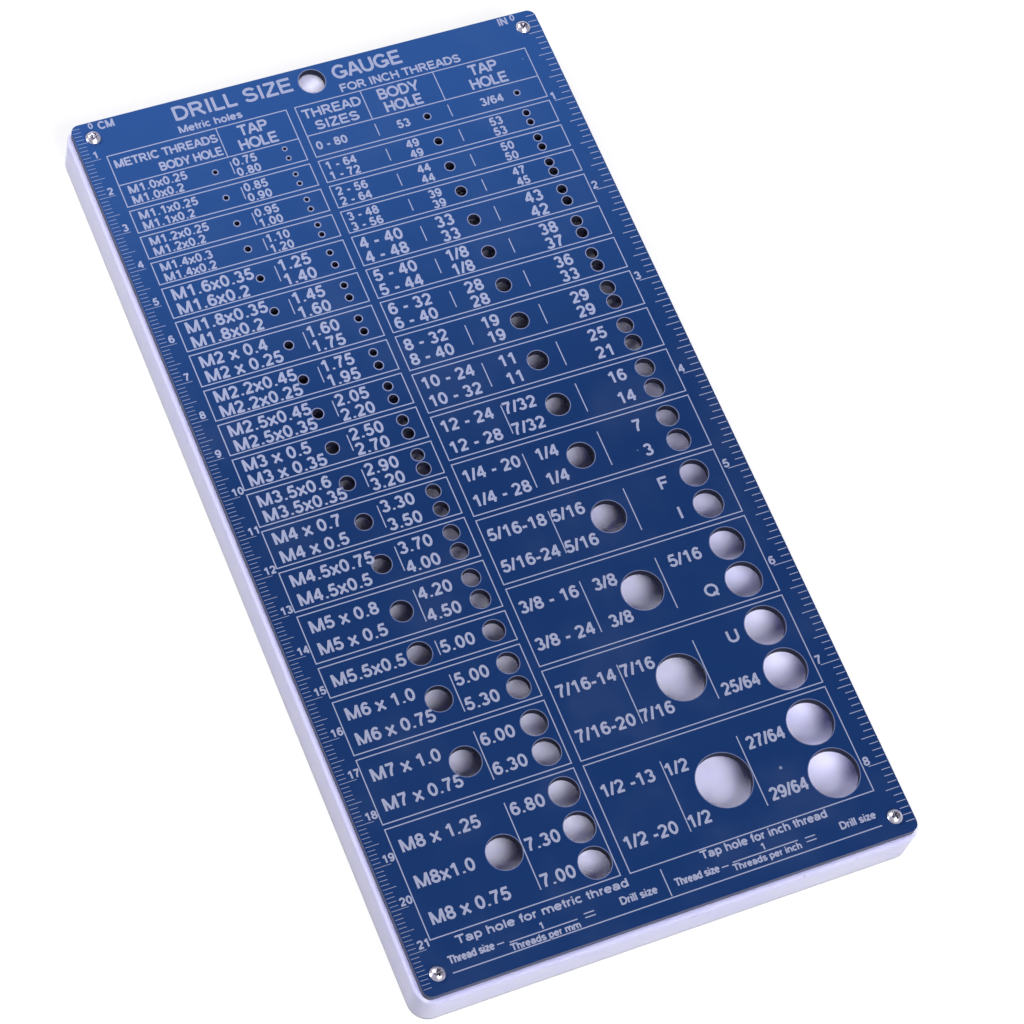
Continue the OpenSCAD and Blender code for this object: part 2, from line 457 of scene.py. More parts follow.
@dataclass(frozen=True)
class WhitePlastic:
    """Moulded white plastic: cool white, smooth, a few spots of dirt, painted shade on the ledge.

    Attributes:
        white: the plastic's colour.
        shade: colour of its faint clouds.
        ledge: darker colour of the ledge round the plate, as painted shade.
        dirt: colour of specks and smudges.
        smudges: x and height of each smudge on the front side and its radius, in millimetres.
        specks: the same of each dark speck there.
        glow: how far light wanders in the plastic, in millimetres.
    """

    white: str = "DBDAFF"
    shade: str = "D4D3FA"
    ledge: str = "C2C1E6"
    dirt: str = "8E8A96"
    smudges: tuple[tuple[float, float, float], ...] = ((3.6, 8.8, 1.4), (7.5, 8.2, 0.8))
    specks: tuple[tuple[float, float, float], ...] = ((30.0, 9.9, 0.5), (42.6, 9.9, 0.45))
    glow: float = 2.0

    LEDGE_EDGE = (-0.4, 0.4)  # past the plate's outline, where the ledge's tone sets in and is full
    LEDGE_DEPTH = (1.4, 0.2)  # the same, under the base's top

    def build(self, face: Face, low: Vector, high: Vector) -> Material:
        """Makes the material.

        Args:
            face: the plate's upper face.
            low: lower corner of the base's box, in metres.
            high: upper corner of the base's box, in metres.

        Returns:
            The material.
        """
        material, tree, shader = new_material("White moulded plastic")
        place = add(tree, "TexCoord").outputs["Object"]
        clouds = ramp(tree, noise(tree, place, size_mm=30.0), 0.35, 0.75)
        colour = blend(tree, clouds, srgb(self.white), srgb(self.shade))
        # Painted shade: the ledge round the plate is coloured darker.
        outside = ramp(tree, past_outline(tree, place, face), *(e * MM for e in self.LEDGE_EDGE))
        height = add(tree, "SeparateXYZ", {0: place}).outputs[2]
        upper = ramp(tree, height, *(high.z - d * MM for d in self.LEDGE_DEPTH))
        dull = calc(tree, "MULTIPLY", outside, upper)
        colour = blend(tree, dull, colour, srgb(self.ledge))
        for marks, most in ((self.smudges, 0.25), (self.specks, 0.8)):
            centres = tuple((Vector((x * MM, low.y, z * MM)), r) for x, z, r in marks)
            colour = blend(tree, spots(tree, place, centres), colour, srgb(self.dirt), most)
        # Light wanders through the milky plastic and softens the shadows in the holes.
        feed(tree, shader, {
            "Base Color": colour,
            "Roughness": calc(tree, "MULTIPLY_ADD", clouds, 0.1, 0.55),
            "Specular IOR Level": SHEEN,
            "Subsurface Weight": 1.0,
            "Subsurface Radius": (1.0, 1.0, 1.1),
            "Subsurface Scale": self.glow * MM})
        return material


@dataclass(frozen=True)
class ZincSteel:
    """Zinc plated screw steel: bright and mirror-like, faint flecks, painted shade in the recess.

    Attributes:
        bright: colour of the plating.
        fleck: colour of its flecks.
        recess_shade: colour of the painted shade in the recess.
        recess: radius of the middle of a head that has painted shade, in millimetres.
        head: diameter of a head, in millimetres.
    """

    bright: str = "E2E0EE"
    fleck: str = "BDBBCB"
    recess_shade: str = "3C3A46"
    recess: float = 0.85
    head: float = 3.5

    FADE = (1.3, 0.7)  # shares of the recess where its painted shade sets in and is full

    def build(self, corner: Vector) -> Material:
        """Makes the material.

        Args:
            corner: farthest corner of the group of screws, in metres.

        Returns:
            The material.
        """
        material, tree, shader = new_material("Zinc plated steel")
        place = add(tree, "TexCoord").outputs["Object"]
        # Flecks dull the mirror in places, as plating does.
        flecks = ramp(tree, noise(tree, place, size_mm=0.6), 0.4, 0.7)
        plating = blend(tree, flecks, srgb(self.bright), srgb(self.fleck))
        # The four heads lie the same way off the middle, so one corner serves for all.
        sockets = {0: place, 1: (1.0, 1.0, 0.0)}
        flat = add(tree, "VectorMath", sockets, operation="MULTIPLY").outputs[0]
        folded = add(tree, "VectorMath", {0: flat}, operation="ABSOLUTE").outputs[0]
        inset = self.head / 2 * MM
        sockets = {0: folded, 1: (corner.x - inset, corner.y - inset, 0.0)}
        away = add(tree, "VectorMath", sockets, operation="DISTANCE").outputs["Value"]
        # Painted shade: the recess in the middle of each head is coloured dark, broken into grains.
        grains = ramp(tree, noise(tree, place, size_mm=0.4), 0.3, 0.6)
        middle = ramp(tree, away, *(self.recess * share * MM for share in self.FADE))
        recess_shade_mask = calc(tree, "MULTIPLY", middle, grains)
        feed(tree, shader, {
            "Base Color": blend(tree, recess_shade_mask, plating, srgb(self.recess_shade)),
            "Roughness": calc(tree, "MULTIPLY_ADD", flecks, 0.1, 0.2),
            "Metallic": 1.0})
        return material


# Marks on the plate


@dataclass(frozen=True)
class Face:
    """The plate's upper face. Places on it are millimetres right and down from its upper left.

    Attributes:
        corner: upper left corner in metres.
        width: width in millimetres.
        length: length in millimetres.
    """

    corner: Vector
    width: float
    length: float

    @classmethod
    def of_node(cls, name: str) -> Face:
        """Reads the face from the frame.

        Args:
            name: name of the frame's node.

        Returns:
            The face.
        """
        low, high = (Vector(c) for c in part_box(name))
        size = (high - low) / MM
        return cls(Vector((low.x, high.y, high.z)), size.x, size.y)

    def point(self, x: float, y: float) -> Vector:
        """Gives a place on the face, from its left side and head, in the frame's metres."""
        return self.corner + Vector((x, -y, 0.0)) * MM


def arc(x: float, y: float, rx: float, ry: float, start: float = 0, end: float = 360) -> Path:
    """Gives points along part of an ellipse.

    Args:
        x: its middle.
        y: its middle.
        rx: half its width.
        ry: half its height.
        start: first angle in degrees, from the right counter-clockwise.
        end: last angle in degrees.

    Returns:
        The points. A full turn, as it is without angles, ends on its first point.
    """
    least, chord = 4, 20.0  # fewest chords, and degrees to each
    steps = max(least, round(abs(end - start) / chord))
    turns = (radians(start + (end - start) * k / steps) for k in range(steps + 1))
    return [(x + rx * cos(a), y + ry * sin(a)) for a in turns]


def level(x0: float, x1: float, y: float) -> Path:
    """Gives a level stroke from x0 to x1 at the height y."""
    return [(x0, y), (x1, y)]


def upright(x: float, y0: float, y1: float) -> Path:
    """Gives an upright stroke at x from the height y0 to y1."""
    return [(x, y0), (x, y1)]


def glyph_strokes() -> dict[str, tuple[float, list[Path]]]:
    """Draws a plain sans-serif alphabet as pen strokes, in cap heights above the baseline.

    Returns:
        For each character its advance and the middle lines of its strokes.
    """
    stem = upright(0.16, 0.0, 1.0)
    short_stem = upright(0.14, 0.0, 0.73)
    top, middle, foot = 0.93, 0.51, 0.07
    arch = [(0.14, 0.3)] + arc(0.38, 0.42, 0.24, 0.24, 180, 0) + [(0.62, 0.0)]
    low, wide, high = 0.36, 0.25, 0.30  # middle and half sizes of a small bowl
    p_bowl = level(0.16, 0.54, top) + arc(0.54, 0.705, 0.25, 0.225, 90, -90) + [(0.16, 0.48)]
    return {
        " ": (0.388, []),
        "0": (0.776, [arc(0.39, 0.5, 0.25, 0.43)]),
        "1": (0.776, [upright(0.47, 0.0, 1.0), [(0.18, 0.72), (0.32, 0.79), (0.45, 0.94)]]),
        "2": (0.776, [arc(0.38, 0.68, 0.25, 0.25, 165, -30) + [(0.16, 0.1)],
                      level(0.07, 0.65, foot)]),
        "3": (0.776, [arc(0.37, 0.72, 0.22, 0.21, 160, -90),
                      arc(0.37, 0.29, 0.26, 0.22, 90, -160)]),
        "4": (0.776, [upright(0.53, 0.0, 1.0), [(0.5, 0.94), (0.1, 0.31)], level(0.05, 0.71, 0.3)]),
        "5": (0.776, [level(0.2, 0.64, top), [(0.23, 0.92), (0.16, 0.45)],
                      arc(0.37, 0.33, 0.265, 0.26, 140, -160)]),
        "6": (0.776, [arc(0.4, 0.33, 0.25, 0.26), arc(0.43, 0.48, 0.28, 0.45, 45, 190)]),
        "7": (0.776, [level(0.09, 0.69, top),
                      [(0.63, 0.89), (0.45, 0.6), (0.34, 0.3), (0.3, 0.0)]]),
        "8": (0.776, [arc(0.385, 0.73, 0.215, 0.2), arc(0.385, 0.29, 0.255, 0.22)]),
        "9": (0.776, [arc(0.37, 0.67, 0.25, 0.26), arc(0.34, 0.52, 0.28, 0.45, 225, 370)]),
        ".": (0.388, [upright(0.19, 0.0, 0.15)]),
        "/": (0.388, [[(0.03, 0.0), (0.36, 1.0)]]),
        "-": (0.465, [level(0.06, 0.41, 0.36)]),
        "A": (0.93, [[(0.06, 0.0), (0.44, 0.98)], [(0.87, 0.0), (0.49, 0.98)],
                     level(0.2, 0.73, 0.33)]),
        "B": (0.93, [stem, level(0.16, 0.5, top) + arc(0.5, 0.72, 0.24, 0.21, 90, -90)
                     + [(0.16, middle)],
                     [(0.5, middle)] + arc(0.54, 0.29, 0.27, 0.22, 90, -90) + [(0.16, foot)]]),
        "C": (1.01, [arc(0.53, 0.5, 0.42, 0.43, 40, 320)]),
        "D": (1.01, [stem, level(0.16, 0.46, top) + arc(0.46, 0.5, 0.42, 0.43, 90, -90)
                     + [(0.16, foot)]]),
        "E": (0.93, [stem, level(0.16, 0.84, top), level(0.16, 0.79, middle),
                     level(0.16, 0.86, foot)]),
        "F": (0.853, [stem, level(0.16, 0.8, top), level(0.16, 0.7, middle)]),
        "G": (1.087, [arc(0.54, 0.5, 0.44, 0.43, 40, 330), upright(0.94, 0.12, 0.47),
                      level(0.56, 1.0, 0.43)]),
        "H": (1.01, [stem, upright(0.85, 0.0, 1.0), level(0.16, 0.85, middle)]),
        "I": (0.388, [upright(0.194, 0.0, 1.0)]),
        "L": (0.776, [stem, level(0.16, 0.72, foot)]),
        "M": (1.163, [stem, upright(1.0, 0.0, 1.0), [(0.18, 0.97), (0.55, 0.02)],
                      [(0.98, 0.97), (0.61, 0.02)]]),
        "N": (1.01, [stem, upright(0.85, 0.0, 1.0), [(0.18, 0.96), (0.83, 0.04)]]),
        "O": (1.087, [arc(0.545, 0.5, 0.45, 0.43)]),
        "P": (0.93, [stem, p_bowl]),
        "Q": (1.087, [arc(0.545, 0.5, 0.45, 0.43), [(0.63, 0.26), (0.99, -0.03)]]),
        "R": (1.01, [stem, p_bowl, [(0.5, 0.48), (0.89, 0.0)]]),
        "S": (0.93, [arc(0.46, 0.72, 0.3, 0.21, 15, 270) + arc(0.46, 0.29, 0.34, 0.22, 85, -165)]),
        "T": (0.853, [level(0.02, 0.83, top), upright(0.425, 0.0, top)]),
        "U": (1.01, [[(0.15, 1.0)] + arc(0.505, 0.38, 0.355, 0.31, 180, 360) + [(0.86, 1.0)]]),
        "Y": (0.93, [upright(0.465, 0.0, 0.45), [(0.06, 1.0), (0.45, 0.41)],
                     [(0.87, 1.0), (0.48, 0.41)]]),
        "Z": (0.853, [level(0.08, 0.77, top), [(0.75, 0.9), (0.1, 0.1)], level(0.04, 0.8, foot)]),
        "a": (0.776, [arc(0.32, 0.22, 0.21, 0.16),
                      arc(0.36, 0.46, 0.25, 0.2, 160, 0) + [(0.61, 0.0)]]),
        "c": (0.698, [arc(0.37, low, 0.27, high, 45, 315)]),
        "d": (0.776, [arc(0.36, low, wide, high), upright(0.62, 0.0, 1.0)]),
        "e": (0.776, [arc(0.38, low, 0.28, high, 0, 320), level(0.11, 0.65, 0.38)]),
        "f": (0.388, [[(0.19, 0.0)] + arc(0.36, 0.8, 0.17, 0.14, 180, 90),
                      level(0.03, 0.37, 0.66)]),
        "h": (0.776, [upright(0.14, 0.0, 1.0), arch]),
        "i": (0.31, [upright(0.155, 0.0, 0.73), upright(0.155, 0.86, 1.0)]),
        "l": (0.31, [upright(0.155, 0.0, 1.0)]),
        "m": (1.163, [short_stem, arch, [(x + 0.42, y) for x, y in arch]]),
        "n": (0.776, [short_stem, arch]),
        "o": (0.776, [arc(0.385, low, 0.28, high)]),
        "p": (0.776, [upright(0.14, -0.28, 0.73), arc(0.4, low, wide, high)]),
        "r": (0.465, [short_stem, [(0.14, 0.35)] + arc(0.4, 0.42, 0.26, 0.24, 180, 90)]),
        "s": (0.698, [arc(0.35, 0.52, 0.21, 0.15, 15, 270)
                      + arc(0.35, 0.22, 0.24, 0.15, 85, -165)]),
        "t": (0.388, [[(0.19, 0.95)] + arc(0.31, 0.2, 0.12, 0.13, 180, 270),
                      level(0.03, 0.36, 0.66)]),
        "x": (0.698, [[(0.05, 0.0), (0.63, 0.73)], [(0.63, 0.0), (0.05, 0.73)]]),
        "z": (0.698, [level(0.06, 0.62, 0.66), [(0.58, 0.62), (0.1, 0.1)],
                      level(0.05, 0.65, foot)]),
    }


def new_object(name: str, data: bpy.types.ID) -> bpy.types.Object:
    """Makes an object at the origin and links it into the scene.

    Args:
        name: its name.
        data: its mesh, lamp or camera.

    Returns:
        The object.
    """
    made = bpy.data.objects.new(name, data)
    bpy.context.scene.collection.objects.link(made)
    return made


class MarkSheet:
    """Collects marks on the plate's face and joins them into one object.

    Every mark is a pen stroke of even width: a thin closed solid a hair proud of the coat.
    """

    LINE = 0.25  # width of the tables' lines
    PEN = 0.165  # width of a letter's stroke, as a share of its height
    SPREAD = 0.1  # width that the marking adds to it
    TRACK = 1.04  # stretch of words of natural width
    PROUD = 0.012  # how far marks stand over the coat
    SINK = 0.003  # how far they reach into it
    LAYER = 0.0006  # step between strokes that cross
    SAME = 1e-6  # points nearer than this are one
    RIM_STEPS = 48
    RIM_GAP = 0.01  # from the hole to its rim
    RIM_LEAST = 0.14
    RIM_MOST = 0.33  # width round a hole of no size
    RIM_TAPER = 0.05  # width lost for each millimetre of the hole
    GLYPHS = glyph_strokes()

    def __init__(self, name: str, face: Face) -> None:
        """Starts an empty sheet.

        Args:
            name: name of the object to be.
            face: the face that the marks lie on.
        """
        self.name = name
        self.face = face
        self.mesh = bmesh.new()

    def stroke(self, path: Path, width: float, layer: int = 0) -> None:
        """Adds a flat stroke, which build() makes solid.

        Args:
            path: its middle line on the face. It is a loop if it ends on its first point.
            width: width of the stroke.
            layer: strokes that cross lie in different layers, so no two faces coincide.
        """
        points = [Vector(p) for k, p in enumerate(path)
                  if k == 0 or dist(p, path[k - 1]) > self.SAME]
        closed = dist(path[0], path[-1]) < self.SAME
        points = points[:-1] if closed else points
        ahead = [(b - a).normalized() for a, b in zip(points, points[1:] + points[:1])]
        lift = Vector((0, 0, (layer * self.LAYER - self.SINK) * MM))
        sides = []
        for k, point in enumerate(points):
            before = ahead[k - 1] if closed or k else ahead[k]
            after = ahead[k] if closed or k < len(points) - 1 else ahead[k - 1]
            along = (before + after).normalized()
            out = Vector((-along.y, along.x)) * (width / 2 / along.dot(after))
            ends = [self.face.point(*(point + s * out)) + lift for s in (1, -1)]
            sides.append([self.mesh.verts.new(end) for end in ends])
        for a, b in zip(sides, sides[1:] + sides[:1] if closed else sides[1:]):
            self.mesh.faces.new((a[0], b[0], b[1], a[1]))

    def line(self, x0: float, y0: float, x1: float, y1: float, width: float = LINE) -> None:
        """Adds a straight line from x0, y0 to x1, y1."""
        self.stroke([(x0, y0), (x1, y1)], width)

    def rim(self, x: float, y: float, hole: float) -> None:
        """Adds the pale ring round a hole, a painted highlight of its edge, wider round a small
        one.

        Args:
            x: middle of the hole.
            y: middle of the hole.
            hole: its diameter.
        """
        width = max(self.RIM_LEAST, self.RIM_MOST - self.RIM_TAPER * hole)
        radius = hole / 2 + self.RIM_GAP + width / 2
        steps = self.RIM_STEPS
        turns = (2 * pi * (k % steps) / steps for k in range(steps + 1))
        self.stroke([(x + radius * cos(a), y + radius * sin(a)) for a in turns], width)

    def words(self, label: Label) -> None:
        """Adds a line of words.

        Args:
            label: the words and their place.
        """
        cap = label.cap
        natural = sum(self.GLYPHS[c][0] for c in label.text) * cap
        stretch = label.width / natural if label.width else self.TRACK
        pen = label.x - natural * stretch * label.align.value
        for character in label.text:
            advance, strokes = self.GLYPHS[character]
            for layer, path in enumerate(strokes):
                placed = [(pen + x * cap * stretch, label.base - y * cap) for x, y in path]
                self.stroke(placed, self.PEN * cap + self.SPREAD, layer)
            pen += advance * cap * stretch

    def build(self, material: Material) -> bpy.types.Object:
        """Makes the strokes solid and the object of them.

        Args:
            material: the marks' material.

        Returns:
            The object, riding on the frame.
        """
        faces = self.mesh.faces[:]
        raised = bmesh.ops.extrude_face_region(self.mesh, geom=faces, use_keep_orig=True)
        tops = [v for v in raised["geom"] if isinstance(v, bmesh.types.BMVert)]
        bmesh.ops.translate(self.mesh, verts=tops, vec=(0, 0, (self.PROUD + self.SINK) * MM))
        bmesh.ops.recalc_face_normals(self.mesh, faces=self.mesh.faces)
        open_edges = sum(1 for e in self.mesh.edges if len(e.link_faces) != 2)
        mesh = bpy.data.meshes.new(self.name)
        self.mesh.to_mesh(mesh)
        self.mesh.free()
        made = new_object(self.name, mesh)
        mesh.materials.append(material)
        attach(made, "root")
        mesh.calc_loop_triangles()
        count = len(mesh.loop_triangles)
        log.info("%s: %d triangles, %d open edges", self.name, count, open_edges)
        return made


@dataclass(frozen=True)
class Table(ABC):
    """One table of the plate: outlined rows with thread sizes, bars and drill names.

    Attributes:
        name: name of its object.
        rows: its rows from the head down.
        headings: words over its columns.
        left: x of its left outline.
        right: x of its right outline.
        bars: x of the bars between its columns.
        bar_inset: least and relative distance from a row's outline to its bars.
        thread_x: left end of the thread sizes.
        body_x: middle of the body holes.
        tap_x: middle of the tap holes.
        body_end: body holes stay left of this x.
        top: y of the header's upper line.
        first: y of the first row's upper line.
        gap: distance between rows.
    """

    name: str
    rows: tuple[Row, ...]
    headings: tuple[Label, ...]
    left: float
    right: float
    bars: tuple[float, ...]
    bar_inset: tuple[float, float]
    thread_x: float
    body_x: float
    tap_x: float
    body_end: float = inf
    top: float = 9.75
    first: float = 17.85
    gap: float = 1.17

    SMALL_ROW = 6.5  # rows under this height have small letters and bars
    SMALL_INSET = 1.3  # from a small row's outline to its bars
    SMALL_CAP = 2.1
    LARGE_CAP = 2.9
    LEADING = 1.32  # least distance of baselines, as a share of the letters' height
    DROP = 0.12  # how far the words hang under the row's middle

    def middles(self) -> list[float]:
        """Gives the middle of each row.

        Returns:
            Distances from the head of the plate.
        """
        found, start = [], self.first
        for row in self.rows:
            found.append(start + row.height / 2)
            start += row.height + self.gap
        return found

    def baselines(self, row: Row, middle: float) -> tuple[float, list[float]]:
        """Sets the lines of text of one row.

        Args:
            row: the row.
            middle: its middle.

        Returns:
            Height of the capitals and the baseline of each line.
        """
        cap = self.SMALL_CAP if row.height < self.SMALL_ROW else self.LARGE_CAP
        pitch = max(row.step, self.LEADING * cap)
        count = len(row.lines())
        first = middle + self.DROP + cap / 2 - (count - 1) / 2 * pitch
        return cap, [first + k * pitch for k in range(count)]

    def draw_frame(self, sheet: MarkSheet) -> None:
        """Draws the header's box, the rows' boxes and the bars between columns.

        Args:
            sheet: where the marks go.
        """
        half = sheet.LINE / 2
        sheet.line(self.left - half, self.top, self.right + half, self.top)
        for x in (self.left, *self.bars, self.right):
            sheet.line(x, self.top + half, x, self.first - half)
        for row, middle in zip(self.rows, self.middles()):
            start, end = middle - row.height / 2, middle + row.height / 2
            upper = [(self.left, start), (self.right, start)]
            lower = [(self.right, end), (self.left, end)]
            sheet.stroke(upper + lower + upper[:1], sheet.LINE)
            least, share = self.bar_inset
            is_small = row.height < self.SMALL_ROW
            inset = self.SMALL_INSET if is_small else max(least, share * row.height)
            for x in self.bars:
                sheet.line(x, start + inset, x, end - inset)

    def draw_rim_highlights(self, sheet: MarkSheet) -> None:
        """Draws the pale ring round every hole, a painted highlight of its edge.

        Args:
            sheet: where the marks go.
        """
        for row, middle in zip(self.rows, self.middles()):
            body, taps = row.body * row.unit, row.holes()
            sheet.rim(min(self.body_x, self.body_end - body / 2), middle, body)
            for k, tap in enumerate(taps):
                sheet.rim(self.tap_x, middle + (k - (len(taps) - 1) / 2) * row.step, tap)

    @abstractmethod
    def draw_drills(self, sheet: MarkSheet, row: Row, drill: str, base: float, cap: float) -> None:
        """Draws the names of the drills on one line of a row.

        Args:
            sheet: where the marks go.
            row: the row.
            drill: name of the line's tap drill.
            base: the line's baseline.
            cap: height of the capitals.
        """

    def build(self, face: Face, material: Material) -> None:
        """Makes the table's marks.

        Args:
            face: the plate's upper face.
            material: the marks' material.
        """
        sheet = MarkSheet(self.name, face)
        self.draw_frame(sheet)
        for heading in self.headings:
            sheet.words(heading)
        for row, middle in zip(self.rows, self.middles()):
            cap, bases = self.baselines(row, middle)
            for (thread, drill), base in zip(row.lines(), bases):
                sheet.words(Label(thread, self.thread_x, base, cap))
                self.draw_drills(sheet, row, drill, base, cap)
        sheet.build(material)


class MetricTable(Table):
    """The left table: drills go by their diameter in millimetres."""

    DRILL_X = 32.5

    def draw_drills(self, sheet: MarkSheet, row: Row, drill: str, base: float, cap: float) -> None:
        """Draws the tap drill's name beside the bar."""
        sheet.words(Label(drill, self.DRILL_X, base, cap))


class InchTable(Table):
    """The right table: drills go by number, letter or fraction."""

    BODY_END = 76.05  # right end of the body drills' names
    LAST_BODY_END = 73.55
    TALL_ROW = 12.0  # rows over this height have the tap drills' names end at one place
    DRILL_START = 93.8  # left end of the tap drills' names in the other rows
    DRILL_END = 96.8  # right end of them in tall rows
    FRACTION_WIDTH = 9.2  # width of sixty-fourths in tall rows

    def draw_drills(self, sheet: MarkSheet, row: Row, drill: str, base: float, cap: float) -> None:
        """Draws the body drill's name left of its hole and the tap drill's left of its own.

        Args:
            sheet: where the marks go.
            row: the row.
            drill: name of the line's tap drill.
            base: the line's baseline.
            cap: height of the capitals.
        """
        body_end = self.LAST_BODY_END if row is self.rows[-1] else self.BODY_END
        sheet.words(Label(row.body_name, body_end, base, cap, Align.RIGHT))
        if row.height < self.TALL_ROW:
            sheet.words(Label(drill, self.DRILL_START, base, cap))
        else:
            width = self.FRACTION_WIDTH if drill.endswith("/64") else None
            sheet.words(Label(drill, self.DRILL_END, base, cap, Align.RIGHT, width))


@dataclass(frozen=True)
class Ruler:
    """One ruler along a side of the plate, from the head.

    Attributes:
        step: distance between ticks.
        per: ticks to a long one, which has a number.
        half: ticks to a middle one.
        reach: how far short, middle and long ticks reach from the plate's side.
        tick: width of the ticks.
        number_x: place of the numbers.
        lift: height of a number over its tick.
        cap: height of the numbers.
        align: which end of a number sits at its place.
        at_right: whether it lies along the right side.
    """

    step: float
    per: int
    half: int
    reach: tuple[float, float, float]
    tick: float
    number_x: float
    lift: float
    cap: float
    align: Align = Align.LEFT
    at_right: bool = False

    EDGE = 0.25  # from the plate's side to the ticks
    END_GAP = 1.5  # room without ticks at the foot
    LAST_GAP = 5.0  # room without numbers at the foot

    def draw(self, sheet: MarkSheet) -> None:
        """Draws the ticks and their numbers.

        Args:
            sheet: where the marks go.
        """
        width, length = sheet.face.width, sheet.face.length
        short, middle, long = self.reach
        for k in range(1, int((length - self.END_GAP) / self.step) + 1):
            y = k * self.step
            reach = long if k % self.per == 0 else middle if k % self.half == 0 else short
            x0, x1 = (width - reach, width - self.EDGE) if self.at_right else (self.EDGE, reach)
            sheet.line(x0, y, x1, y, self.tick)
            if k % self.per == 0 and y < length - self.LAST_GAP:
                number = str(k // self.per)
                sheet.words(Label(number, self.number_x, y - self.lift, self.cap, self.align))


@dataclass(frozen=True)
class Formula:
    """One rule of thumb at the foot: thread size less a fraction gives the drill size.

    Attributes:
        start: its left end.
        end: its right end.
        fraction_y: the fraction's line.
        unit: unit of the threads.
    """

    start: float
    end: float
    fraction_y: float
    unit: str

    CAP = 1.7
    SMALL_CAP = 1.5  # height of the fraction's letters
    THREAD_BASE, THREAD_WIDTH = 214.6, 10.4  # baseline and width of the words at the start
    DRILL_BASE, DRILL_WIDTH = 214.55, 8.7  # the same at the end
    MIDDLE = 21.5  # of the fraction, from the start
    OVER, UNDER = 0.45, 1.95  # from the fraction's line to the baselines over and under it
    FRACTION = (13.7, 29.3)  # ends of the fraction's line from the start
    MINUS = ((11.0, 12.6, 213.9),)  # ends of its line from the start, and y
    EQUALS = ((31.0, 33.4, 213.7), (31.0, 33.4, 214.6))

    def draw(self, sheet: MarkSheet) -> None:
        """Draws the words, then the minus sign, the fraction's line and the equals sign.

        Args:
            sheet: where the marks go.
        """
        middle, line = self.start + self.MIDDLE, self.fraction_y
        threads, small = "Threads per " + self.unit, self.SMALL_CAP
        for label in (
                Label("1", middle, line - self.OVER, small, Align.CENTER),
                Label(threads, middle, line + self.UNDER, small, Align.CENTER),
                Label("Thread size", self.start, self.THREAD_BASE, self.CAP,
                      width=self.THREAD_WIDTH),
                Label("Drill size", self.end, self.DRILL_BASE, self.CAP, Align.RIGHT,
                      self.DRILL_WIDTH)):
            sheet.words(label)
        for x0, x1, y in (*self.MINUS, (*self.FRACTION, line), *self.EQUALS):
            sheet.line(self.start + x0, y, self.start + x1, y)


RULERS = (
    Ruler(step=1.0, per=10, half=5, reach=(2.1, 3.3, 4.15), tick=0.1,
          number_x=2.55, lift=0.45, cap=1.8),
    Ruler(step=INCH / 16, per=16, half=4, reach=(2.4, 3.6, 4.8), tick=0.16,
          number_x=111.2, lift=0.35, cap=2.0, align=Align.CENTER, at_right=True),
)

FORMULAS = (Formula(7.5, 55.6, 214.3, "mm"), Formula(59.8, 107.9, 213.6, "inch"))

# A line between the formulas and a long one under them, from end to end
FOOT_LINES = ((58.0, 209.9, 58.0, 216.3), (7.4, 216.6, 108.2, 216.6))


@dataclass(frozen=True)
class Margin:
    """Marks outside the tables that make one object.

    Attributes:
        name: name of the object.
        parts: its rulers or formulas.
        labels: its other words.
        lines: its other lines, as MarkSheet.line takes them.
    """

    name: str
    parts: tuple[Ruler | Formula, ...]
    labels: tuple[Label, ...]
    lines: tuple[tuple[float, ...], ...] = ()

    def build(self, face: Face, material: Material) -> None:
        """Makes the marks.

        Args:
            face: the plate's upper face.
            material: the marks' material.
        """
        sheet = MarkSheet(self.name, face)
        for part in self.parts:
            part.draw(sheet)
        for label in self.labels:
            sheet.words(label)
        for line in self.lines:
            sheet.line(*line)
        sheet.build(material)


# Pieces of the frame and the stage


